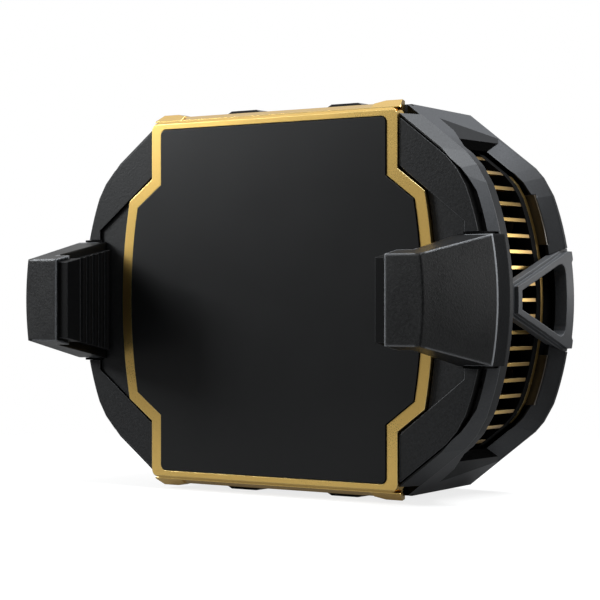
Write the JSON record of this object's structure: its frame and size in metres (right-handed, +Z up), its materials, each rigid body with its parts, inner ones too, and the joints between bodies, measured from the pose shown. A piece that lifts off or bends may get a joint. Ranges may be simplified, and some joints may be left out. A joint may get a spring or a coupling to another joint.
{
  "type": "phone cooling fan",
  "caption": "Clip-on phone cooler with a flat cold plate in a gold frame, two sprung clamp arms, gold heat sink fins in side windows and a fan behind a round rear grille.",
  "frame": {"origin": "centre of the cold face that touches the phone", "axes": "+X to the right and +Z up as in the picture, +Y from the cold face back to the fan grille"},
  "size_m": [0.0846, 0.046, 0.0636],
  "materials": {
    "black_plate": "satin black anodised",
    "gold_metal": "satin gold anodised",
    "cover_grey": "fine textured charcoal",
    "rail_grey": "fine textured dark charcoal",
    "shell_grey": "satin dark grey",
    "ceramic_white": "matt",
    "pellet_grey": "matt",
    "foam_black": "closed cell foam",
    "fan_black": "satin",
    "lens_smoke": "smoked, polished",
    "bronze": "sintered",
    "copper_coil": "lacquered wire",
    "magnet_grey": "matt",
    "steel": "polished",
    "black_steel": "black oxide",
    "board_green": "solder mask",
    "contact_black": "moulded",
    "arm_grey": "fine textured charcoal",
    "pad_rubber": "ribbed"
  },
  "bodies": {
    "body": {"cold_plate": "black_plate", "gold_frame": "gold_metal", "left_upper_cover": "cover_grey", "left_lower_cover": "cover_grey", "right_upper_cover": "cover_grey", "right_lower_cover": "cover_grey", "left_rail_cover": "rail_grey", "right_rail_cover": "rail_grey", "front_shell": "shell_grey", "top_trim": "gold_metal", "bottom_trim": "gold_metal", "cold_ceramic": "ceramic_white", "cell_pellets": "pellet_grey", "hot_ceramic": "ceramic_white", "insulation_gasket": "foam_black", "heatsink_base": "gold_metal", "heatsink_fins": "gold_metal", "fan_frame": "fan_black", "fan_trim": "gold_metal", "bearing_sleeve": "bronze", "motor_stator": "copper_coil", "rear_housing": "shell_grey", "left_lenses": "lens_smoke", "right_lenses": "lens_smoke", "rear_grille": "fan_black", "grille_badge": "gold_metal", "left_strut": "shell_grey", "right_strut": "shell_grey", "control_board": "board_green", "usb_socket": "steel", "usb_tongue": "contact_black", "left_springs": "steel", "right_springs": "steel", "case_screws": "black_steel", "plate_screws": "steel", "fan_screws": "black_steel"},
    "left_arm": {"left_arm": "arm_grey", "left_grip_pad": "pad_rubber", "left_lip_pad": "pad_rubber"},
    "right_arm": {"right_arm": "arm_grey", "right_grip_pad": "pad_rubber", "right_lip_pad": "pad_rubber"},
    "fan_rotor": {"impeller": "fan_black", "rotor_magnet": "magnet_grey", "fan_shaft": "steel"}
  },
  "joints": [
    {"name": "left_arm_slide", "type": "slide", "parent": "body", "child": "left_arm", "axis": [-1, 0, 0], "range_m": [0, 0.01], "stiffness_N_per_m": 250, "springref_m": -0.02, "deforming": ["left_springs"]},
    {"name": "right_arm_slide", "type": "slide", "parent": "body", "child": "right_arm", "axis": [1, 0, 0], "range_m": [0, 0.01], "stiffness_N_per_m": 250, "springref_m": -0.02, "deforming": ["right_springs"]},
    {"name": "fan_spin", "type": "hinge", "parent": "body", "child": "fan_rotor", "pos_m": [0, 0.0252, 0], "axis": [0, 1, 0], "continuous": true}
  ]
}
